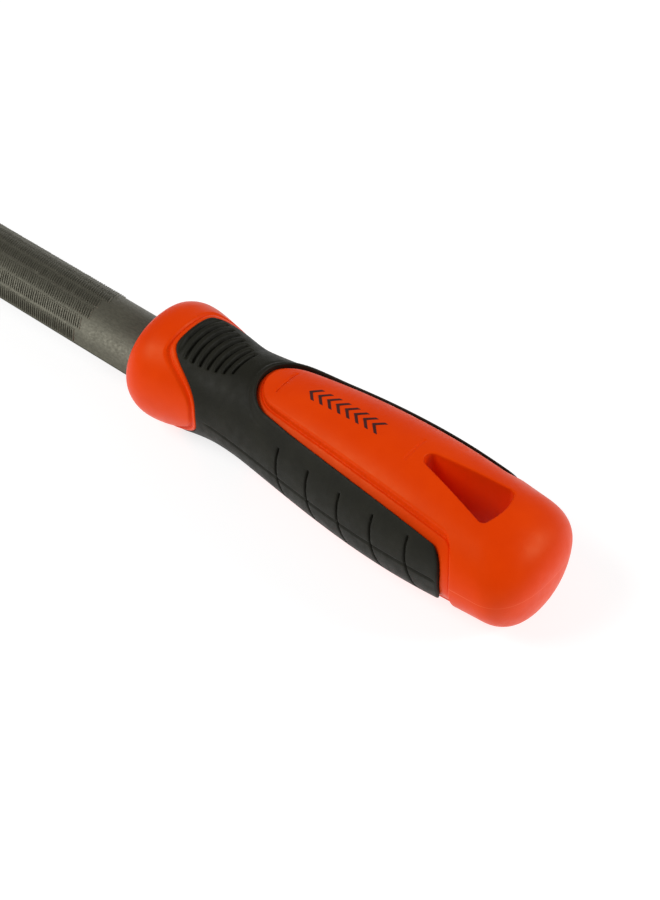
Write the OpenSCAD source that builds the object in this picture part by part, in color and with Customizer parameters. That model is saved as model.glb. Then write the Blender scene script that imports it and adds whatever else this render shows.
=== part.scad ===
// Half-round wood rasp with a two-colour moulded handle. Millimetres.
// X runs along the tool with the butt at +X, Z is up with the round face of the blade on top.
// The origin is the middle of the tool's length, on the parting plane of the handle.

/* [Blade] */
// Length of the blade in front of the handle
blade_length = 200; // [150:5:300]
// Width of the blade along its parallel part
blade_width = 21; // [16:0.5:30]
// Thickness from the flat face to the top of the round face
blade_thickness = 6; // [4:0.5:9]
// Width left at the tip
tip_width = 9; // [3:0.5:15]
// Thickness left at the tip
tip_thickness = 3; // [2:0.25:6]
// Share of the blade, from the handle, that stays parallel
parallel_share = 0.45; // [0.2:0.05:0.8]

/* [Tang] */
// Length of the tang inside the handle
tang_length = 64; // [45:1:80]
// Width of the tang where it leaves the heel
tang_root_width = 11; // [8:0.5:16]
// Width of the tang at its point
tang_point_width = 4; // [2:0.5:8]
// Thickness of the tang where it leaves the heel
tang_root_thickness = 4.6; // [3:0.2:6]
// Thickness of the tang at its point
tang_point_thickness = 2.6; // [1:0.2:4]
// Depth of the blade's heel inside the collar
heel_depth = 5; // [3:0.5:8]

/* [Handle] */
// Length of the handle
handle_length = 120; // [110:1:140]
// Width of the handle's front face
front_width = 26; // [22:0.2:30]
// Width at the collar's crest
crest_width = 31.8; // [28:0.2:36]
// Width at the waist
waist_width = 26; // [22:0.2:30]
// Width at the belly
belly_width = 35.2; // [30:0.2:40]
// Width at the butt, before its rounding
butt_width = 32.4; // [28:0.2:38]
// Height of the front face above the parting plane
front_rise = 12; // [9:0.1:15]
// Height of the collar's crest above the parting plane
crest_rise = 14.4; // [11:0.1:18]
// Height of the waist above the parting plane
waist_rise = 12.1; // [9:0.1:15]
// Height of the belly above the parting plane
belly_rise = 16.8; // [13:0.1:20]
// Height of the butt above the parting plane, before its rounding
butt_rise = 12.8; // [10:0.1:16]
// Depth of the front face below the parting plane
front_drop = 12; // [9:0.1:15]
// Depth of the collar's crest below the parting plane
crest_drop = 15.9; // [11:0.1:18]
// Depth of the waist below the parting plane
waist_drop = 12.2; // [9:0.1:15]
// Depth of the belly below the parting plane
belly_drop = 16.1; // [13:0.1:20]
// Depth of the butt below the parting plane, before its rounding
butt_drop = 14.1; // [10:0.1:17]
// Squareness of the handle's cross-sections, where 2 is an ellipse
section_power = 2.1; // [2:0.1:4]
// Length of the butt's rounding on its sides
butt_round_side = 10; // [5:0.5:20]
// Length of the butt's rounding on top
butt_round_top = 16; // [5:0.5:20]
// Length of the butt's rounding underneath
butt_round_bottom = 5.5; // [5:0.5:20]
// Depth of the recessed band around the grip below the top panel
band_depth = 0.9; // [0.3:0.1:1.5]
// Distance from the handle's front to the back end of the grip
grip_end = 100.6; // [90:0.1:110]
// Width of the recessed band behind the grip
band_width = 2.9; // [1.5:0.1:4]

/* [Grip] */
// Thickness of the soft grip over the hard core
grip_thickness = 2.6; // [1.5:0.1:4]
// Distance from the handle's front to the front edge of the grip, on top
grip_front = 12; // [10:0.1:18]
// How far the front edge of the grip slants back down each side
front_slant = 11.6; // [5:0.1:15]
// Height above the parting plane where the slant ends
slant_height = 13.2; // [8:0.1:14]
// Number of thumb grooves
thumb_grooves = 8; // [4:1:10]
// Distance between thumb grooves
thumb_pitch = 2.12; // [1.5:0.05:3]
// Half width of the first thumb groove
thumb_half = 7.4; // [5:0.1:9]
// Number of finger grooves on each side
side_grooves = 5; // [3:1:7]
// Distance between finger grooves
side_pitch = 10; // [8:0.5:12]
// Height of a finger groove above the parting plane
side_half = 8; // [5:0.5:10]
// Width of the grooves
groove_width = 1; // [0.6:0.1:1.6]
// Depth of the grooves
groove_depth = 0.5; // [0.2:0.05:0.8]

/* [Top panel] */
// Distance from the handle's front to the panel's nose
panel_start = 35.7; // [32:0.1:40]
// Width of the panel at its back
panel_width = 28.8; // [24:0.2:34]
// How much narrower each side of the panel gets towards its nose
panel_narrowing = 6.3; // [3:0.1:9]
// Length of the panel's rounded nose
panel_nose = 8; // [4:0.5:12]
// Distance from the handle's front to the nose of the raised plateau
plateau_start = 37; // [34:0.1:42]
// Width of the plateau at its back
plateau_width = 23.6; // [20:0.2:30]
// How much narrower each side of the plateau gets towards its nose
plateau_narrowing = 5.4; // [3:0.1:9]
// Length of the plateau's rounded nose
plateau_nose = 7; // [4:0.5:12]

/* [Hang hole] */
// Distance from the handle's front to the narrow end of the hang hole
hole_start = 83.8; // [75:0.1:95]
// Length of the hang hole
hole_length = 22.3; // [12:0.1:24]
// Width of the hang hole at its wide end
hole_width = 12.2; // [8:0.1:15]
// Corner radius at the narrow end
hole_nose_radius = 2.1; // [1:0.1:3]
// Corner radius at the wide end
hole_corner_radius = 1.5; // [0.5:0.1:2]
// How far the wide end bows out
hole_bow = 1; // [0:0.1:3]

/* [Printed mark] */
// Distance from the handle's front to the middle of the mark
mark_middle = 59.8; // [50:0.1:70]
// Number of chevrons in the mark
mark_chevrons = 8; // [3:1:10]
// Distance between chevrons
mark_pitch = 2.7; // [2:0.1:4]
// Height of a chevron across the handle
mark_height = 4.2; // [3:0.1:6]
// Width of a chevron's stroke
mark_stroke = 1; // [0.5:0.1:1.5]
// Thickness of the ink
ink = 0.12; // [0.05:0.01:0.3]

/* [Hidden] */
$fn = 32;
tool_middle = (handle_length - blade_length) / 2;
flat_z = -3.3;
far = 60;
// Squareness of the butt's rounding, where 2 is an ellipse
end_power = 2.4;
// Points in one cross-section of the handle
section_points = 32;
// Steps across the round face of the blade
arc_steps = 24;
// Rings along the blade
blade_steps = 24;
// Distance from the handle's front to where the panel stops getting wider
panel_back = 105;
// Squareness of the panel's rounded nose, where 2 is an ellipse
nose_power = 2.15;
// Curve of the slanting front edge: the first squares off its low end, the second eases it in at the top
slant_power = 2.8;
slant_ease = 1.35;
// Roundness of the rise from the front face to the collar's crest
crest_power = 2.4;
// Steps along each stretch of the panel's edge, and along the slanting front edge
edge_steps = 6;
// How early the handle swells from crest to waist, waist to belly and belly to butt: under 1 is early
side_leans = [0.8, 0.8, 1];
top_leans = [1.5, 0.65, 1.35];
bottom_leans = [0.8, 0.65, 1.1];
// Smallest half width or half height of a handle section, which leaves a small flat on the butt
least_half = 0.4;
// Exponents that square off the sides and the top of a tang section
tang_side_power = 0.4;
tang_top_power = 0.3;
// Curve of the blade's taper, where 1 is straight
taper_power = 1.6;
// Distance from the grip's front edge to the first thumb groove, and how much shorter each next one gets
thumb_start = 1.8;
thumb_shortening = 0.07;
// Distance from the grip's back end to the last finger groove
side_start = 8.6;
// Bend of the bars that press the grooves in
thumb_bend = 19;
side_bend = 25;
// Front face, collar crest, waist, belly and butt: [distance from the front, size there]
side_features = [
    [0, front_width / 2],
    [7, crest_width / 2],
    [27, waist_width / 2],
    [84, belly_width / 2],
    [handle_length, butt_width / 2]
];
top_features = [
    [0, front_rise],
    [7, crest_rise],
    [27, waist_rise],
    [72, belly_rise],
    [handle_length, butt_rise]
];
bottom_features = [
    [0, front_drop],
    [9, crest_drop],
    [36, waist_drop],
    [86, belly_drop],
    [handle_length, butt_drop]
];

function last(list) = len(list) - 1;

// Share of a swell reached at x between two features
function swell(x, a, b, lean) =
    let (t = pow(max(0, min(1, (x - a[0]) / (b[0] - a[0]))), lean))
    t * t * (3 - 2 * t);

// Smooth curve at x: a rounded rise to the collar's crest, then a swell from each feature to the next
function feature_curve(f, leans, x) =
    let (before_crest = max(0, min(1, (f[1][0] - x) / f[1][0])))
    f[1][1] - (f[1][1] - f[0][1]) * pow(before_crest, crest_power)
    + (f[2][1] - f[1][1]) * swell(x, f[1], f[2], leans[0])
    + (f[3][1] - f[2][1]) * swell(x, f[2], f[3], leans[1])
    + (f[4][1] - f[3][1]) * swell(x, f[3], f[4], leans[2]);

// Shrinks the sections into a rounded end over the last part of the handle
function end_factor(x, round) =
    let (t = max(0, (x - handle_length + round) / round))
    pow(max(0, 1 - pow(t, end_power)), 1 / end_power);

function half_width(x) = feature_curve(side_features, side_leans, x) * end_factor(x, butt_round_side);

// Height above the parting plane, or depth below it for a negative side
function half_height(x, side = 1) =
    side > 0
        ? feature_curve(top_features, top_leans, x) * end_factor(x, butt_round_top)
        : feature_curve(bottom_features, bottom_leans, x) * end_factor(x, butt_round_bottom);

function signed_pow(v, p) = sign(v) * pow(abs(v), p);

// Ring of points around the handle at x, set in by a distance
function handle_ring(x, inset) = [
    for (k = [0 : section_points - 1])
        let (a = 360 * k / section_points)
        [
            x,
            max(half_width(x) - inset, least_half) * signed_pow(cos(a), 2 / section_power),
            max(half_height(x, sin(a)) - inset, least_half) * signed_pow(sin(a), 2 / section_power)
        ]
];

function blade_shrink(x) = max(0, (x / blade_length - parallel_share) / (1 - parallel_share));
function blade_w(x) = blade_width - (blade_width - tip_width) * pow(blade_shrink(x), taper_power);
function blade_h(x) = blade_thickness - (blade_thickness - tip_thickness) * pow(blade_shrink(x), taper_power);

// Ring of points over the blade at a distance from the handle: a circular arc above the flat face
function blade_ring(x) =
    let (
        w = blade_w(x),
        h = blade_h(x),
        r = (w * w / 4 + h * h) / (2 * h),
        half = asin(w / 2 / r)
    )
    [
        for (k = [0 : arc_steps])
            let (a = half - 2 * half * k / arc_steps)
            [-x, r * sin(a), flat_z + h - r + r * cos(a)]
    ];

// Ring of points over the tang, the same number as over the blade: nearly a rectangle
function tang_ring(x, w, h) = [
    for (k = [0 : arc_steps])
        let (a = 180 * k / arc_steps)
        [x, w / 2 * signed_pow(cos(a), tang_side_power), h * pow(sin(a), tang_top_power) - h / 2]
];

// Closed solid through a list of rings that all have the same number of points
module loft(rings) {
    n = len(rings[0]);
    sides = [
        for (i = [0 : last(rings) - 1], k = [0 : n - 1])
            let (a = i * n + k, b = i * n + (k + 1) % n)
            each [[a, a + n, b], [b, a + n, b + n]]
    ];
    polyhedron(
        points = [for (ring = rings) each ring],
        faces = concat(
            sides,
            [[for (k = [0 : n - 1]) k]],
            [[for (k = [n - 1 : -1 : 0]) last(rings) * n + k]]
        )
    );
}

module in_place() {
    translate([-tool_middle, 0, 0])
        children();
}

// Handle stations, closer together where the form turns quickly
function handle_stations() = concat(
    [for (x = [0 : 2 : 18]) x],
    [for (x = [22 : 4 : 102]) x],
    [for (t = [0.1 : 0.1 : 1]) handle_length - butt_round_top * (1 - sin(90 * t))]
);

// The handle's outer form, set in by a distance
module handle_solid(inset = 0) {
    loft([for (x = handle_stations()) handle_ring(x, inset)]);
}

// Everything behind the slanting front edge of the grip, up to its back end
module grip_span() {
    slant = [
        for (i = [-edge_steps : edge_steps])
            [
                grip_front + front_slant * pow(1 - pow(abs(i) / edge_steps, slant_power), slant_ease),
                -slant_height * i / edge_steps
            ]
    ];
    rotate([90, 0, 0])
        linear_extrude(far, center = true)
            polygon(concat(
                [[grip_end, far], [grip_front, far]],
                slant,
                [[grip_front, -far], [grip_end, -far]]
            ));
}

// Half width of the panel or its plateau at x: a bowed side with a rounded nose
function panel_half(x, start, width, narrowing, nose) =
    let (
        from_back = (panel_back - x) / (panel_back - start),
        from_nose_end = max(0, min(1, 1 - (x - start) / nose))
    )
    (width / 2 - narrowing * from_back * from_back) * pow(1 - pow(from_nose_end, nose_power), 1 / nose_power);

// Upright prism inside the edge of the panel or its plateau
module panel_prism(start, width, narrowing, nose) {
    places = concat(
        [for (i = [0 : edge_steps]) start + nose * (1 - cos(90 * i / edge_steps))],
        [for (i = [1 : edge_steps]) start + nose + (panel_back - start - nose) * i / edge_steps]
    );
    edge = [for (x = places) [x, panel_half(x, start, width, narrowing, nose)]];
    linear_extrude(far, center = true)
        polygon(concat(edge, [for (i = [last(edge) : -1 : 1]) [edge[i][0], -edge[i][1]]]));
}

module hole_outline() {
    corner_x = hole_start + hole_length - hole_bow - hole_corner_radius;
    corner_y = hole_width / 2 - hole_corner_radius;
    hull() {
        translate([hole_start + hole_nose_radius, 0])
            circle(hole_nose_radius);
        for (side = [-1, 1])
            translate([corner_x, side * corner_y])
                circle(hole_corner_radius);
        for (side = [-1, 1])
            translate([corner_x + hole_bow * 0.8, side * corner_y * 0.45])
                circle(hole_corner_radius);
    }
}

module hang_hole() {
    linear_extrude(far, center = true)
        hole_outline();
}

// A bent round bar that presses a groove into a crowned surface
module groove_bar(bend_radius, half_length) {
    sweep = 2 * asin(half_length / bend_radius);
    translate([0, 0, -bend_radius])
        rotate([0, -90, 0])
            rotate([0, 0, -sweep / 2])
                rotate_extrude(angle = sweep, $fn = 72)
                    translate([bend_radius, 0])
                        circle(groove_width / 2, $fn = 10);
}

module thumb_groove_bars() {
    for (i = [0 : thumb_grooves - 1]) {
        x = grip_front + thumb_start + i * thumb_pitch;
        for (side = [1, -1])
            rotate([side > 0 ? 0 : 180, 0, 0])
                translate([x, 0, half_height(x, side) + groove_width / 2 - groove_depth])
                    groove_bar(thumb_bend, thumb_half - thumb_shortening * i * i);
    }
}

module side_groove_bars() {
    for (i = [0 : side_grooves - 1]) {
        x = grip_end - side_start - i * side_pitch;
        for (side = [90, -90])
            rotate([side, 0, 0])
                translate([x, 0, half_width(x) + groove_width / 2 - groove_depth])
                    groove_bar(side_bend, side_half);
    }
}

// The steel body: tapered half-round blade, heel and tang
module steel() {
    loft(concat(
        [for (i = [blade_steps : -1 : 1]) blade_ring(blade_length * i / blade_steps)],
        [blade_ring(0), blade_ring(-heel_depth * 0.6)],
        [
            tang_ring(heel_depth, tang_root_width, tang_root_thickness),
            tang_ring(tang_length, tang_point_width, tang_point_thickness)
        ]
    ));
}

// The soft grip's volume before its grooves
module grip_volume() {
    difference() {
        intersection() {
            handle_solid();
            grip_span();
        }
        panel_prism(panel_start, panel_width, panel_narrowing, panel_nose);
        handle_solid(grip_thickness);
    }
}

module chevron() {
    half = mark_height / 2;
    polygon([
        [-half, 0],
        [0, half],
        [mark_stroke, half],
        [mark_stroke - half, 0],
        [mark_stroke, -half],
        [0, -half]
    ]);
}

// Ink film that stands on the handle's outer form
module ink_film() {
    difference() {
        intersection() {
            handle_solid(-ink);
            translate([mark_middle + mark_stroke - mark_pitch * (mark_chevrons - 1) / 2, 0, 0])
                for (i = [0 : mark_chevrons - 1])
                    translate([i * mark_pitch, 0, 0])
                        linear_extrude(far)
                            chevron();
        }
        handle_solid();
    }
}

// One forging: blade, heel and tang
module rasp_blade() {
    color([0.36, 0.35, 0.31])
        in_place()
            steel();
}

// Hard plastic core: collar, top and bottom panels, butt and hang hole
module handle_core() {
    color([0.87, 0.25, 0.06])
        in_place()
            difference() {
                union() {
                    handle_solid(band_depth);
                    intersection() {
                        handle_solid();
                        union() {
                            difference() {
                                translate([0, -far / 2, -far / 2])
                                    cube([grip_end / 2, far, far]);
                                grip_span();
                            }
                            panel_prism(plateau_start, plateau_width, plateau_narrowing, plateau_nose);
                            translate([grip_end + band_width, -far / 2, -far / 2])
                                cube([far, far, far]);
                        }
                    }
                }
                grip_volume();
                steel();
                hang_hole();
            }
}

// Soft overmoulded grip: neck sleeve with thumb rests, and a wing along each side
module soft_grip() {
    color([0.13, 0.13, 0.12])
        in_place()
            difference() {
                grip_volume();
                thumb_groove_bars();
                side_groove_bars();
            }
}

// Ink print on the top panel
module printed_mark() {
    color([0.2, 0.05, 0.03])
        in_place()
            ink_film();
}

rasp_blade();
handle_core();
soft_grip();
printed_mark();
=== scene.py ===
import math

import bpy
import numpy as np
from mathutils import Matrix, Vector


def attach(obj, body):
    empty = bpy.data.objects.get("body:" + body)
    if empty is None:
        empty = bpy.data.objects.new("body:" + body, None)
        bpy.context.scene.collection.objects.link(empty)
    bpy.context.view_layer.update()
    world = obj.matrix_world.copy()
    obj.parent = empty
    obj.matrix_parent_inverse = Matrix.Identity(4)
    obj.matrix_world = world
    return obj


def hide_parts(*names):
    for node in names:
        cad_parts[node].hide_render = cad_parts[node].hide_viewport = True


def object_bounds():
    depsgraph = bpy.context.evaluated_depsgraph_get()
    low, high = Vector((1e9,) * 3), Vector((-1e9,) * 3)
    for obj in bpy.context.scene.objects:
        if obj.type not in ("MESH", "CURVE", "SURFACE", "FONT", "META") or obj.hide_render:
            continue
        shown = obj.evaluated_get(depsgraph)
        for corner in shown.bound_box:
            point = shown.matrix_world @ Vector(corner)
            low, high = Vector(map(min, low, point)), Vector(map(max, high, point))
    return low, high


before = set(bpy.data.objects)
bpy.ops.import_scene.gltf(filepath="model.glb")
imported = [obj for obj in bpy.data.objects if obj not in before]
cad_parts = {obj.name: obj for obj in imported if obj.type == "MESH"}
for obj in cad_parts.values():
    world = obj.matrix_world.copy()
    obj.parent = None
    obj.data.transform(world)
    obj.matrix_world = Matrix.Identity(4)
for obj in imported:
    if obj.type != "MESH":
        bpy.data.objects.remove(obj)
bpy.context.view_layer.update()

MM = 0.001

# Handle, in millimetres from the handle's front: the same form as the CAD
HANDLE_LENGTH = 120.0
BLADE_LENGTH = 200.0
TOOL_MIDDLE = (HANDLE_LENGTH - BLADE_LENGTH) / 2
SECTION_POWER = 2.1
END_POWER = 2.4
FRONT_ROUND = 2.0
BUTT_ROUND_SIDE = 10.0
BUTT_ROUND_TOP = 16.0
BUTT_ROUND_BOTTOM = 5.5

# Front face, collar crest, waist, belly and butt: where each lies, and its half width, rise or drop there
SIDE_FEATURES = [(0, 13.0), (7, 15.9), (27, 13.0), (84, 17.6), (HANDLE_LENGTH, 16.2)]
TOP_FEATURES = [(0, 12.0), (7, 14.4), (27, 12.1), (72, 16.8), (HANDLE_LENGTH, 12.8)]
BOTTOM_FEATURES = [(0, 12.0), (9, 15.9), (36, 12.2), (86, 16.1), (HANDLE_LENGTH, 14.1)]
# How early each swell happens, from crest to waist, waist to belly and belly to butt: under 1 is early
SIDE_LEANS = (0.8, 0.8, 1.0)
TOP_LEANS = (1.5, 0.65, 1.35)
BOTTOM_LEANS = (0.8, 0.65, 1.1)
CREST_POWER = 2.4

# Soft grip
GRIP_THICKNESS = 2.6
GRIP_PROUD = 0.1
GRIP_EDGE_ROUND = 0.5
GRIP_FRONT = 12.0
FRONT_SLANT = 11.6
SLANT_HEIGHT = 13.2
SLANT_POWER = 2.8
SLANT_EASE = 1.35
GRIP_END = 100.6
BUTT_EDGE = 103.5
END_BOW = 0.03
BAND_DEPTH = 0.9

# Groove around the collar's back edge
RIM_GROOVE_DEPTH = 0.75
RIM_GROOVE_PLACE = 1.35
RIM_GROOVE_HALF_WIDTH = 0.75
COLLAR_SPAN = 40

# Top panel and the plateau on it: start, half width at the back, narrowing of a side, length of the nose
PANEL = (35.7, 14.4, 6.3, 8.0)
PLATEAU = (37.0, 11.8, 5.4, 7.0)
PANEL_BACK = 105.0
NOSE_POWER = 2.15

# Grooves
THUMB_GROOVES = 8
THUMB_FIRST = 13.5
THUMB_PITCH = 2.12
THUMB_HALF = 7.7
THUMB_DEPTH = 1.1
THUMB_HALF_WIDTH = 0.7
THUMB_SHORTENING = 0.07
THUMB_BOW = 0.012
SIDE_GROOVES = 5
SIDE_LAST = 92.0
SIDE_PITCH = 10.0
SIDE_HALF = 8.0
SIDE_DEPTH = 0.85
SIDE_HALF_WIDTH = 0.42
SEAM_DEPTH = 0.6
SEAM_HALF_WIDTH = 0.38

# Flat for the printed mark: where its two end lines lie, and their half length
MARK_FLAT = (42.3, 80.6)
MARK_FLAT_HALF = 4.1
MARK_LINE_DEPTH = 0.5
MARK_LINE_HALF_WIDTH = 0.42
REAR_LINE_SHARE = 0.6

# Hang hole
HOLE_NOSE = (85.9, 2.1)
HOLE_CORNER = (103.6, 4.6, 1.5)
HOLE_BOW = 1.0
HOLE_RIM_ROUND = 0.35

# Blade
BLADE_WIDTH = 21.0
BLADE_THICKNESS = 6.0
TIP_WIDTH = 9.0
TIP_THICKNESS = 3.0
PARALLEL_SHARE = 0.45
TAPER_POWER = 1.6
FLAT_Z = -3.3
TIP_ROUND = 4.0
HEEL_DEPTH = 4.4
HEEL_GAP = 0.12
HEEL_END_GAP = 0.1

# Half width and half thickness of the tang at its root and at its point
TANG_LENGTH = 64.0
TANG_ROOT = (5.5, 2.3)
TANG_POINT = (2.0, 1.3)

# Teeth: strips along each face, cut with slanting strokes that stand up from the steel
TOOTH_STRIPS = 7
TOOTH_PITCH = 0.75
TOOTH_SLANT = 0.45
TOOTH_HEIGHT = 0.36
TOOTH_WIDTH = 0.55
BARE_HEEL = 21.0
BLANK_INSET = 0.1
TOOTH_FRONT = 0.2
TOOTH_BACK = 0.5
TOOTH_ROOT = 0.2
TOOTH_END_POWER = 6
STRIP_COVERAGE = 0.98
STRIP_STAGGER = 0.7
BARE_TIP = 3.0

VOXEL = 0.25
MOST_TRIANGLES = 180000


# ---------------------------------------------------------------- curves and fields

def feature_curve(features, leans, x):
    """Smooth curve at every x: a rounded rise to the collar's crest, then swells between the features."""
    (start, front), (crest_x, crest) = features[0], features[1]
    before_crest = np.clip((crest_x - x) / (crest_x - start), 0, 1)
    value = crest - (crest - front) * before_crest**CREST_POWER
    for (x0, low), (x1, high), lean in zip(features[1:], features[2:], leans):
        t = np.clip((x - x0) / (x1 - x0), 0, 1) ** lean
        value = value + (high - low) * t * t * (3 - 2 * t)
    return value


def panel_outline(start, back_half, narrowing, nose):
    """Closed outline of the top panel or its plateau: a rounded nose between two bowed sides."""
    along_nose = start + nose * (1 - np.cos(np.linspace(0, math.pi / 2, 16)))
    x = np.concatenate([along_nose, np.linspace(start + nose, PANEL_BACK, 16)[1:]])
    side = back_half - narrowing * ((PANEL_BACK - x) / (PANEL_BACK - start)) ** 2
    from_nose_end = np.clip(1 - (x - start) / nose, 0, 1)
    y = side * (1 - from_nose_end**NOSE_POWER) ** (1 / NOSE_POWER)
    edge = np.stack([x, y], axis=1)
    return np.vstack([edge, (edge * (1, -1))[::-1][:-1]])


def outline_distance(outline, x, y):
    """Signed distance from a closed outline at every grid point, negative inside."""
    nearest = np.full(x.shape, 1e9)
    inside = np.zeros(x.shape, bool)
    for (ax, ay), (bx, by) in zip(outline, np.roll(outline, -1, axis=0)):
        ex, ey = bx - ax, by - ay
        length = max(ex * ex + ey * ey, 1e-12)
        t = np.clip(((x - ax) * ex + (y - ay) * ey) / length, 0, 1)
        nearest = np.minimum(nearest, (x - ax - t * ex) ** 2 + (y - ay - t * ey) ** 2)
        if ay != by:
            inside ^= ((ay > y) != (by > y)) & (x < (bx - ax) * (y - ay) / (by - ay) + ax)
    return np.where(inside, -1, 1) * np.sqrt(nearest)


def cut(a, b, r):
    """Intersection of two fields, with its convex edge rounded to radius r."""
    return np.minimum(-r, np.maximum(a, b)) + np.hypot(np.maximum(a + r, 0), np.maximum(b + r, 0))


def join(a, b, r):
    """Union of two fields, with its concave edge filled to radius r."""
    return -cut(-a, -b, r)


def bump(distance, half_width):
    """Smooth bump, 1 in the middle and 0 beyond its half width."""
    return np.cos(np.clip(distance / half_width, -1, 1) * math.pi / 2) ** 2


def ramp(value, low, high):
    t = np.clip((value - low) / (high - low), 0, 1)
    return t * t * (3 - 2 * t)


# ---------------------------------------------------------------- mesh helpers

def surface_net(field, origin, step):
    """Closed quad mesh of a field's zero level: one vertex for each grid cell that the surface crosses."""
    shape = np.array(field.shape)
    strides = np.array([shape[1] * shape[2], shape[2], 1])
    cells, points, quads = [], [], []
    for axis in range(3):
        low = [slice(None)] * 3
        high = [slice(None)] * 3
        low[axis], high[axis] = slice(0, -1), slice(1, None)
        a, b = field[tuple(low)], field[tuple(high)]
        where = np.argwhere((a < 0) != (b < 0))
        va, vb = a[tuple(where.T)], b[tuple(where.T)]
        crossing = where.astype(float)
        crossing[:, axis] += va / (va - vb)
        u, v = (axis + 1) % 3, (axis + 2) % 3
        around = []
        for du, dv in ((-1, -1), (0, -1), (0, 0), (-1, 0)):
            cell = where.copy()
            cell[:, u] += du
            cell[:, v] += dv
            around.append(cell @ strides)
        around = np.array(around).T
        around[vb < va] = around[vb < va][:, ::-1]
        cells.append(around.ravel())
        points.append(np.repeat(crossing, 4, axis=0))
        quads.append(around)
    cells, points, quads = np.concatenate(cells), np.concatenate(points), np.concatenate(quads)
    used, index = np.unique(cells, return_inverse=True)
    count = np.bincount(index)
    vertices = np.stack([np.bincount(index, points[:, i]) / count for i in range(3)], axis=1)
    return vertices * step + origin, np.searchsorted(used, quads)


def make_mesh(name, vertices, faces, smooth=True):
    """New object from vertices in millimetres, measured from the handle's front."""
    mesh = bpy.data.meshes.new(name)
    placed = (np.asarray(vertices, float) - (TOOL_MIDDLE, 0, 0)) * MM
    mesh.vertices.add(len(placed))
    mesh.vertices.foreach_set("co", placed.ravel())
    sizes = np.array([len(face) for face in faces])
    corners = np.concatenate(faces)
    mesh.loops.add(len(corners))
    mesh.loops.foreach_set("vertex_index", corners)
    mesh.polygons.add(len(sizes))
    mesh.polygons.foreach_set("loop_start", np.r_[0, np.cumsum(sizes)[:-1]])
    mesh.update(calc_edges=True)
    mesh.validate()
    mesh.polygons.foreach_set("use_smooth", [smooth] * len(mesh.polygons))
    piece = bpy.data.objects.new(name, mesh)
    bpy.context.scene.collection.objects.link(piece)
    return piece


def apply_modifiers(piece):
    """Turns a piece's modifiers into its mesh."""
    depsgraph = bpy.context.evaluated_depsgraph_get()
    mesh = bpy.data.meshes.new_from_object(piece.evaluated_get(depsgraph))
    piece.modifiers.clear()
    piece.data = mesh


def field_piece(name, field, origin, step, most_triangles):
    """Smooth piece around a field's negative part, thinned out to at most so many triangles."""
    vertices, faces = surface_net(field, origin, step)
    piece = make_mesh(name, vertices, faces)
    if len(faces) * 2 > most_triangles:
        thin = piece.modifiers.new("thin", "DECIMATE")
        thin.ratio = most_triangles / (len(faces) * 2)
        apply_modifiers(piece)
    piece.data.polygons.foreach_set("use_smooth", [True] * len(piece.data.polygons))
    return piece


# ---------------------------------------------------------------- handle

def handle_grid():
    low = np.array([-1.5, -19.0, -18.0])
    high = np.array([HANDLE_LENGTH + 1.5, 19.0, 18.6])
    counts = np.ceil((high - low) / VOXEL).astype(int) + 1
    x = (low[0] + VOXEL * np.arange(counts[0])).reshape(-1, 1, 1)
    y = (low[1] + VOXEL * np.arange(counts[1])).reshape(1, -1, 1)
    z = (low[2] + VOXEL * np.arange(counts[2])).reshape(1, 1, -1)
    return low, x, y, z


def shell_field(x, y, z):
    """Distance from the handle's outer form, negative inside."""
    top = feature_curve(TOP_FEATURES, TOP_LEANS, x)
    bottom = feature_curve(BOTTOM_FEATURES, BOTTOM_LEANS, x)
    h = np.where(z > 0, top, bottom)
    across = np.abs(y / feature_curve(SIDE_FEATURES, SIDE_LEANS, x)) ** SECTION_POWER
    rise = np.abs(z / h) ** SECTION_POWER
    upright_round = np.where(z > 0, BUTT_ROUND_TOP, BUTT_ROUND_BOTTOM)
    butt_round = (across * BUTT_ROUND_SIDE + rise * upright_round) / (across + rise + 1e-6)
    end = np.clip((x - HANDLE_LENGTH) / np.maximum(butt_round, 1) + 1, 0, None)
    level = ((across + rise) ** (END_POWER / SECTION_POWER) + end**END_POWER) ** (1 / END_POWER)
    gradient = np.gradient(level.astype(np.float32), VOXEL)
    steepness = np.sqrt(sum(g * g for g in gradient))
    distance = (level - 1) / np.maximum(steepness, 0.03)
    return cut(distance, -x, FRONT_ROUND).astype(np.float32)


def front_outline():
    """Closed outline, seen from the side, of everything behind the grip's slanting front edge."""
    z = np.linspace(-20, 20, 81)
    slant = (1 - np.clip(np.abs(z) / SLANT_HEIGHT, 0, 1) ** SLANT_POWER) ** SLANT_EASE
    edge = np.stack([GRIP_FRONT + FRONT_SLANT * slant, z], axis=1)
    return np.vstack([[(200, -20)], edge, [(200, 20)]])


def hole_outline():
    """Closed outline of the hang hole: a triangle with rounded corners and a bowed base."""
    nose_x, nose_r = HOLE_NOSE
    corner_x, corner_y, corner_r = HOLE_CORNER
    lean = math.asin((corner_r - nose_r) / math.hypot(corner_x - nose_x, corner_y))
    edge = math.pi / 2 + math.atan2(corner_y, corner_x - nose_x) + lean
    half = [
        (nose_x + nose_r * math.cos(a), nose_r * math.sin(a))
        for a in np.linspace(math.pi, edge, 12)
    ]
    half += [
        (corner_x + corner_r * math.cos(a), corner_y + corner_r * math.sin(a))
        for a in np.linspace(edge, math.radians(12), 10)
    ]
    end_x, end_y = half[-1]
    half += [
        (end_x + HOLE_BOW * (1 - (t / end_y) ** 2), t)
        for t in np.linspace(end_y, 0, 12)[1:]
    ]
    half = np.array(half)
    return np.vstack([half, (half * (1, -1))[::-1][1:-1]])


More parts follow.
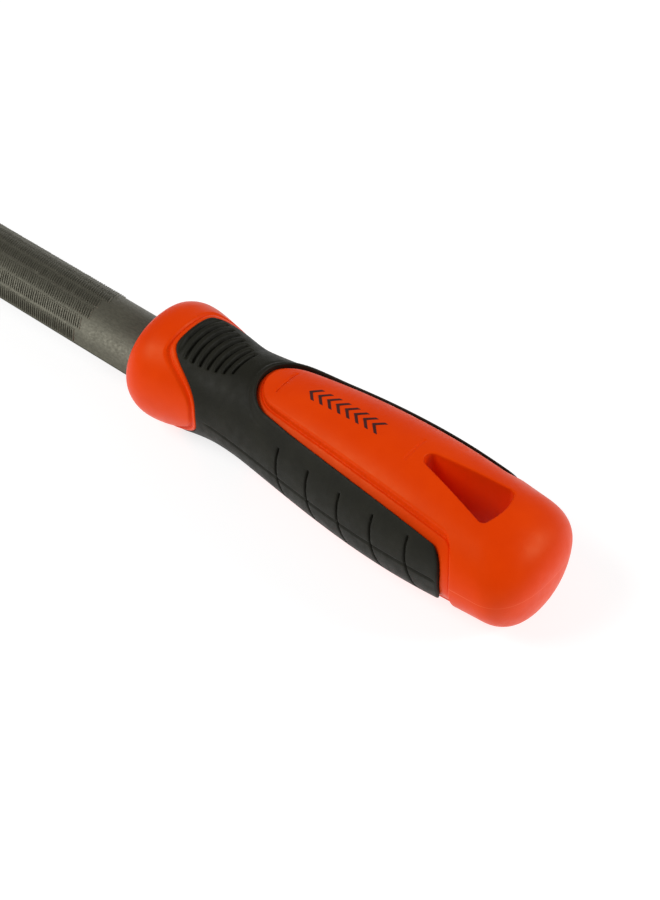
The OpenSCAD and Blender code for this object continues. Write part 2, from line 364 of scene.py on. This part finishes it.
def groove_depths(x, y, z):
    """Depth of the moulded grooves in the soft grip."""
    depth = 0
    for i in range(THUMB_GROOVES):
        half = THUMB_HALF - THUMB_SHORTENING * i * i
        middle = THUMB_FIRST + THUMB_PITCH * i
        across = bump(x - middle - THUMB_BOW * y**2, THUMB_HALF_WIDTH)
        depth = np.maximum(depth, THUMB_DEPTH * across * (1 - ramp(np.abs(y), half - 0.5, half + 0.4)))
    depth = depth * (np.abs(z) > 6)
    side = np.abs(y) > 8
    for i in range(SIDE_GROOVES):
        lean = np.where(z > 0, 1 - (1 - np.clip(z / SIDE_HALF, 0, 1)) ** 2, 0.3 * z)
        across = bump(x - SIDE_LAST + SIDE_PITCH * i + lean, SIDE_HALF_WIDTH)
        along = 1 - ramp(np.abs(z), SIDE_HALF - 0.7, SIDE_HALF + 0.3)
        depth = np.maximum(depth, SIDE_DEPTH * across * along * side)
    seam = SEAM_DEPTH * bump(z, SEAM_HALF_WIDTH) * ramp(x, 25, 31)
    return np.maximum(depth, seam * side)


def nose_lip(x, panel):
    """Height of the soft lip that rises around the panel's rounded nose."""
    fade = 1 - ramp(x, 40, 54)
    return (0.45 * (1 - ramp(panel, 0.9, 1.7)) - 0.12 * bump(panel - 2.0, 0.6)) * fade


def panel_lines(x, y, z):
    """Depth of the two fine lines at the ends of the flat for the printed mark."""
    front_line = bump(x - MARK_FLAT[0], MARK_LINE_HALF_WIDTH)
    rear_line = bump(x - MARK_FLAT[1], MARK_LINE_HALF_WIDTH)
    lines = front_line + REAR_LINE_SHARE * rear_line
    fade = 1 - ramp(np.abs(y), MARK_FLAT_HALF - 0.4, MARK_FLAT_HALF + 0.2)
    return MARK_LINE_DEPTH * lines * fade * (z > 0)


def taper(s):
    """Share of the blade's taper that is reached at a distance from the handle."""
    return np.clip((s / BLADE_LENGTH - PARALLEL_SHARE) / (1 - PARALLEL_SHARE), 0, None) ** TAPER_POWER


def blade_half_width(s):
    return (BLADE_WIDTH - (BLADE_WIDTH - TIP_WIDTH) * taper(s)) / 2


def blade_height(s):
    return BLADE_THICKNESS - (BLADE_THICKNESS - TIP_THICKNESS) * taper(s)


def arc_radius(half_width, height):
    """Radius of the round face's arc over its chord."""
    return (half_width**2 + height**2) / (2 * height)


def tang_and_heel_field(x, y, z):
    """Distance from the pocket that the heel and the tang fill, negative inside."""
    radius = arc_radius(BLADE_WIDTH / 2, BLADE_THICKNESS)
    arc_z = FLAT_Z + BLADE_THICKNESS - radius
    heel = np.maximum(np.hypot(y, z - arc_z) - radius, FLAT_Z - z) - HEEL_GAP
    heel = np.maximum(heel, x - HEEL_DEPTH - HEEL_END_GAP)
    along = np.clip(x / TANG_LENGTH, 0, 1)
    half_width = TANG_ROOT[0] + (TANG_POINT[0] - TANG_ROOT[0]) * along
    half_thickness = TANG_ROOT[1] + (TANG_POINT[1] - TANG_ROOT[1]) * along
    tang = np.maximum(np.maximum(np.abs(y) - half_width, np.abs(z) - half_thickness), x - TANG_LENGTH)
    return np.minimum(heel, tang)


def make_handle():
    origin, x, y, z = handle_grid()
    shell = shell_field(x, y, z)
    flat_x, flat_y = np.broadcast_arrays(x[:, :, 0], y[:, :, 0])
    panel = outline_distance(panel_outline(*PANEL), flat_x, flat_y)[:, :, None]
    plateau = outline_distance(panel_outline(*PLATEAU), flat_x, flat_y)[:, :, None]
    hole = outline_distance(hole_outline(), flat_x, flat_y)[:, :, None]
    side_x, side_z = np.broadcast_arrays(x[:, 0, :], z[:, 0, :])
    front = outline_distance(front_outline(), side_x, side_z)[:, None, :]

    # Negative inside the grip's area
    bow = END_BOW * np.maximum(z, 0) ** 2
    grip_area = cut(cut(front, x - GRIP_END + bow, 1.2), -panel, 1.6)
    inner = ramp(-grip_area, 0.3, 1.3)
    grooved = shell - GRIP_PROUD + groove_depths(x, y, z) * inner - nose_lip(x, panel)
    grip = cut(grooved, grip_area, GRIP_EDGE_ROUND)
    grip = np.maximum(grip, -(shell + GRIP_THICKNESS))

    raised = join(plateau, BUTT_EDGE - bow - x, 2.0)
    step = bump(raised - 0.15, 0.55)
    raised = cut(shell + panel_lines(x, y, z), raised, 0.45)
    band = shell + BAND_DEPTH + 0.45 * step
    rim_groove = RIM_GROOVE_DEPTH * bump(front - RIM_GROOVE_PLACE, RIM_GROOVE_HALF_WIDTH) * (x < COLLAR_SPAN)
    collar = np.maximum(shell + rim_groove, -front)
    outside = join(np.minimum(raised, collar), band, 0.15)
    core = np.minimum(np.maximum(outside, -grip_area), shell + GRIP_THICKNESS)
    core = cut(core, -hole, HOLE_RIM_ROUND)

    core = np.maximum(core, -tang_and_heel_field(x, y, z))

    core_piece = field_piece("handle_core_body", core, origin, VOXEL, MOST_TRIANGLES)
    grip_piece = field_piece("soft_grip_body", grip, origin, VOXEL, MOST_TRIANGLES)
    return core_piece, grip_piece


# ---------------------------------------------------------------- blade

def blade_point(s, a):
    """Point on the round face: s from the handle, a from -1 to 1 across."""
    w, h = blade_half_width(s), blade_height(s)
    r = arc_radius(w, h)
    angle = a * np.arcsin(w / r)
    return np.stack([-s + 0 * a, r * np.sin(angle), FLAT_Z + h - r + r * np.cos(angle)], axis=-1)


def make_blade():
    arc = np.linspace(1, -1, 41)
    tip = np.linspace(BLADE_LENGTH, BLADE_LENGTH - TIP_ROUND, 9)
    stations = np.r_[tip, np.linspace(BLADE_LENGTH - 1.5 * TIP_ROUND, 0, 90), -3.0]
    rings = []
    for s in stations:
        ring = blade_point(max(s, 0.0), arc)
        ring[:, 0] = -s
        ring[:, 2] += np.where(np.abs(arc) < 0.99, -BLANK_INSET, BLANK_INSET)
        into_tip = max(0, (s - BLADE_LENGTH + TIP_ROUND) / TIP_ROUND)
        ring[:, 1] *= 1 - 0.45 * (1 - math.sqrt(1 - into_tip**2))
        rings.append(ring)
    around = np.linspace(0, math.pi, len(arc))
    for x, (w, h) in ((HEEL_DEPTH, TANG_ROOT), (TANG_LENGTH - 0.2, TANG_POINT)):
        ring_y = w * np.sign(np.cos(around)) * np.abs(np.cos(around)) ** 0.4
        ring_z = 2 * h * np.sin(around) ** 0.3 - h
        rings.append(np.stack([np.full(len(arc), x), ring_y, ring_z], axis=1))
    n = len(arc)
    faces = []
    for i in range(len(rings) - 1):
        for k in range(n):
            a, b = i * n + k, i * n + (k + 1) % n
            faces.append([a, b, b + n, a + n])
    faces.append(list(range(n))[::-1])
    faces.append([(len(rings) - 1) * n + k for k in range(n)])
    return make_mesh("rasp_blade_body", np.concatenate(rings), faces)


def flat_point(s, a):
    """Point on the flat face: s from the handle, a from -1 to 1 across."""
    return np.stack([-s + 0 * a, blade_half_width(s) * a, FLAT_Z + 0 * a], axis=-1)


def make_teeth(name, face_point, up):
    """Teeth over one face of the blade: ridges with a steep face towards the tip and a long back."""
    along = np.linspace(-1, 1, 7)
    fullness = np.sqrt(1 - along**TOOTH_END_POWER)
    height = TOOTH_HEIGHT * fullness
    width = TOOTH_WIDTH * (0.15 + 0.85 * fullness)
    random = np.random.default_rng(7)
    points, faces = [], []
    for strip in range(TOOTH_STRIPS):
        middle = (2 * strip + 1) / TOOTH_STRIPS - 1
        first = BARE_HEEL + STRIP_STAGGER * (strip % 2) + 3 * max(0, abs(middle) - 0.5)
        for s in np.arange(first, BLADE_LENGTH - BARE_TIP, TOOTH_PITCH):
            shift, deep = random.uniform(-0.05, 0.05, 2)
            a = np.clip(middle + STRIP_COVERAGE * along / TOOTH_STRIPS + 0.1 * shift, -0.985, 0.985)
            arc = blade_half_width(s) * 1.2 * (a - middle)
            at = s + shift + TOOTH_SLANT * arc
            front = face_point(at + TOOTH_FRONT * width, a)
            crest = face_point(at, a)
            back = face_point(at - TOOTH_BACK * width, a)
            crest = crest + up * (height * (1 + 2 * deep) - BLANK_INSET)[:, None] * crest_direction(crest, up)
            front = front - TOOTH_ROOT * crest_direction(front, up) * up
            back = back - TOOTH_ROOT * crest_direction(back, up) * up
            start = len(points) * 3 * len(along)
            points.append(np.stack([front, crest, back], axis=1).reshape(-1, 3))
            for k in range(len(along) - 1):
                for j in range(3):
                    p, q = start + 3 * k + j, start + 3 * k + (j + 1) % 3
                    faces.append([p, p + 3, q + 3, q])
            end = start + 3 * (len(along) - 1)
            faces.append([start, start + 1, start + 2])
            faces.append([end + 2, end + 1, end])
    return make_mesh(name, np.concatenate(points), faces, smooth=False)


def crest_direction(points, up):
    """Unit vector at each point: fans out of the round face, and is straight up for the flat one."""
    if up < 0:
        return np.tile((0.0, 0.0, 1.0), (len(points), 1))
    arc_z = FLAT_Z + BLADE_THICKNESS - arc_radius(BLADE_WIDTH / 2, BLADE_THICKNESS)
    out = points - (0, 0, arc_z)
    out[:, 0] = 0
    return out / np.linalg.norm(out, axis=1)[:, None]


# ---------------------------------------------------------------- materials

def new_material(name):
    material = bpy.data.materials.new(name)
    material.use_nodes = True
    return material, material.node_tree, material.node_tree.nodes["Principled BSDF"]


def node(tree, kind, **values):
    """New node with the given input values and settings."""
    made = tree.nodes.new(kind)
    for key, value in values.items():
        if key in made.inputs:
            made.inputs[key].default_value = value
        else:
            setattr(made, key, value)
    return made


def noise(tree, scale, detail=3.0, roughness=0.5, stretch=(1, 1, 1)):
    """Noise in object space; the scale is in cycles per metre."""
    where = node(tree, "ShaderNodeTexCoord")
    mapping = node(tree, "ShaderNodeMapping")
    mapping.inputs["Scale"].default_value = stretch
    pattern = node(tree, "ShaderNodeTexNoise", Scale=scale, Detail=detail, Roughness=roughness)
    tree.links.new(where.outputs["Object"], mapping.inputs["Vector"])
    tree.links.new(mapping.outputs["Vector"], pattern.inputs["Vector"])
    return pattern.outputs["Fac"]


def ramp_colors(tree, factor, low, high):
    colors = node(tree, "ShaderNodeValToRGB")
    colors.color_ramp.elements[0].position = 0.3
    colors.color_ramp.elements[1].position = 0.7
    colors.color_ramp.elements[0].color = (*low, 1)
    colors.color_ramp.elements[1].color = (*high, 1)
    tree.links.new(factor, colors.inputs["Fac"])
    return colors.outputs["Color"]


def ramp_value(tree, factor, low, high):
    mapped = node(tree, "ShaderNodeMapRange")
    mapped.inputs["From Min"].default_value = 0.3
    mapped.inputs["From Max"].default_value = 0.7
    mapped.inputs["To Min"].default_value = low
    mapped.inputs["To Max"].default_value = high
    tree.links.new(factor, mapped.inputs["Value"])
    return mapped.outputs["Result"]


def add_bump(tree, shader, height, distance):
    made = node(tree, "ShaderNodeBump", Strength=1.0, Distance=distance)
    tree.links.new(height, made.inputs["Height"])
    tree.links.new(made.outputs["Normal"], shader.inputs["Normal"])


def parting_line_highlight(tree):
    """Factor for a painted highlight: a lighter line around the butt on the parting plane, standing in for
    the light caught by the fine raised bead that the mould leaves there.
    """
    where = node(tree, "ShaderNodeTexCoord")
    split = node(tree, "ShaderNodeSeparateXYZ")
    tree.links.new(where.outputs["Object"], split.inputs["Vector"])
    butt = node(tree, "ShaderNodeMath", operation="GREATER_THAN")
    tree.links.new(split.outputs["X"], butt.inputs[0])
    butt.inputs[1].default_value = (BUTT_EDGE - TOOL_MIDDLE + 0.3) * MM
    line = node(tree, "ShaderNodeMath", operation="COMPARE")
    tree.links.new(split.outputs["Z"], line.inputs[0])
    line.inputs[1].default_value = 0.0
    line.inputs[2].default_value = 0.11 * MM
    both = node(tree, "ShaderNodeMath", operation="MULTIPLY")
    tree.links.new(butt.outputs["Value"], both.inputs[0])
    tree.links.new(line.outputs["Value"], both.inputs[1])
    uneven = node(tree, "ShaderNodeMath", operation="MULTIPLY")
    tree.links.new(both.outputs["Value"], uneven.inputs[0])
    tree.links.new(ramp_value(tree, noise(tree, 60, 2), 0.2, 1.0), uneven.inputs[1])
    return uneven.outputs["Value"]


def orange_plastic():
    material, tree, shader = new_material("orange_plastic")
    mottle = noise(tree, 90, 3, 0.55)
    color = ramp_colors(tree, mottle, (0.82, 0.047, 0.0005), (0.88, 0.057, 0.0008))
    parting_highlight = node(tree, "ShaderNodeMix", data_type="RGBA")
    tree.links.new(parting_line_highlight(tree), parting_highlight.inputs["Factor"])
    tree.links.new(color, parting_highlight.inputs["A"])
    # Painted highlight: a paler, lighter orange along the parting line, in place of the light that the
    # mould's fine raised bead catches; the plastic there is the same orange.
    parting_highlight.inputs["B"].default_value = (0.95, 0.14, 0.045, 1)
    tree.links.new(parting_highlight.outputs["Result"], shader.inputs["Base Color"])
    tree.links.new(ramp_value(tree, noise(tree, 400, 4), 0.34, 0.44), shader.inputs["Roughness"])
    shader.inputs["IOR"].default_value = 1.47
    shader.inputs["Specular IOR Level"].default_value = 0.17
    shader.inputs["Specular Tint"].default_value = (1.0, 0.75, 0.3, 1)
    add_bump(tree, shader, noise(tree, 2600, 2), 0.00003)
    return material


def black_rubber():
    material, tree, shader = new_material("black_rubber")
    color = ramp_colors(tree, noise(tree, 160, 4, 0.6), (0.0120, 0.0118, 0.0075), (0.0175, 0.0170, 0.0108))
    tree.links.new(color, shader.inputs["Base Color"])
    tree.links.new(ramp_value(tree, noise(tree, 500, 4), 0.48, 0.62), shader.inputs["Roughness"])
    shader.inputs["IOR"].default_value = 1.5
    shader.inputs["Specular IOR Level"].default_value = 0.16
    add_bump(tree, shader, noise(tree, 3500, 3, 0.6), 0.00005)
    return material


def cut_steel():
    material, tree, shader = new_material("cut_steel")
    grain = noise(tree, 1900, 4, 0.65, (0.45, 1, 1))
    color = ramp_colors(tree, grain, (0.102, 0.098, 0.073), (0.150, 0.144, 0.108))
    tree.links.new(color, shader.inputs["Base Color"])
    shader.inputs["Metallic"].default_value = 0.55
    tree.links.new(ramp_value(tree, noise(tree, 1500, 4), 0.46, 0.60), shader.inputs["Roughness"])
    add_bump(tree, shader, noise(tree, 3000, 3, 0.6, (0.2, 1, 1)), 0.00004)
    return material


def print_ink():
    material, tree, shader = new_material("print_ink")
    color = ramp_colors(tree, noise(tree, 3000, 2), (0.040, 0.003, 0.002), (0.060, 0.005, 0.003))
    tree.links.new(color, shader.inputs["Base Color"])
    tree.links.new(ramp_value(tree, noise(tree, 900, 3), 0.45, 0.6), shader.inputs["Roughness"])
    return material


# ---------------------------------------------------------------- studio

def make_studio():
    floor_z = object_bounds()[0].z - 0.0002
    size = 4.0
    mesh = bpy.data.meshes.new("floor")
    corners = [(-size, -size), (size, -size), (size, size), (-size, size)]
    mesh.from_pydata([(x, y, floor_z) for x, y in corners], [], [(0, 1, 2, 3)])
    floor = bpy.data.objects.new("floor", mesh)
    bpy.context.scene.collection.objects.link(floor)
    material, tree, shader = new_material("floor_paint")
    shader.inputs["Base Color"].default_value = (0.36, 0.36, 0.36, 1)
    shader.inputs["Roughness"].default_value = 0.9
    shader.inputs["Emission Color"].default_value = (1, 1, 1, 1)
    shader.inputs["Emission Strength"].default_value = 0.78
    floor.data.materials.append(material)

    world = bpy.data.worlds.new("studio")
    bpy.context.scene.world = world
    world.use_nodes = True
    world.node_tree.nodes["Background"].inputs["Color"].default_value = (1, 1, 1, 1)
    world.node_tree.nodes["Background"].inputs["Strength"].default_value = 0.25

    lights = [
        ("key", (-0.5, -0.65, 0.9), 0.55, 8.5),
        ("right", (1.0, 0.6, 0.6), 0.4, 6.5),
    ]
    for name, place, width, power in lights:
        data = bpy.data.lights.new(name, "AREA")
        data.size = width
        data.energy = power
        lamp = bpy.data.objects.new(name, data)
        lamp.location = place
        lamp.rotation_euler = (Vector((0.1, 0, 0)) - lamp.location).to_track_quat("-Z", "Y").to_euler()
        bpy.context.scene.collection.objects.link(lamp)


def make_camera():
    azimuth, elevation = math.radians(39.63), math.radians(46.06)
    distance = 0.449
    target = Vector((0.09582, -0.00035, 0))
    level = math.cos(elevation)
    back = Vector((math.sin(azimuth) * level, -math.cos(azimuth) * level, math.sin(elevation)))
    data = bpy.data.cameras.new("camera")
    data.sensor_width = 36
    data.lens = 74.87
    camera = bpy.data.objects.new("camera", data)
    camera.location = target + back * distance
    camera.rotation_mode = "QUATERNION"
    camera.rotation_quaternion = (-back).to_track_quat("-Z", "Y")
    bpy.context.scene.collection.objects.link(camera)
    bpy.context.scene.camera = camera
    bpy.context.scene.view_settings.view_transform = "Standard"


# ---------------------------------------------------------------- assembly

def dress(piece, material):
    piece.data.materials.clear()
    piece.data.materials.append(material)
    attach(piece, "root")


def stand_for(piece, cad_node, material):
    dress(piece, material)
    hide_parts(cad_node)


core, grip = make_handle()
blade = make_blade()
stand_for(core, "handle_core", orange_plastic())
stand_for(grip, "soft_grip", black_rubber())
steel = cut_steel()
stand_for(blade, "rasp_blade", steel)
dress(make_teeth("round_face_teeth", blade_point, 1), steel)
dress(make_teeth("flat_face_teeth", flat_point, -1), steel)
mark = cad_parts["printed_mark"]
mark.data.materials.clear()
mark.data.materials.append(print_ink())

make_studio()
make_camera()
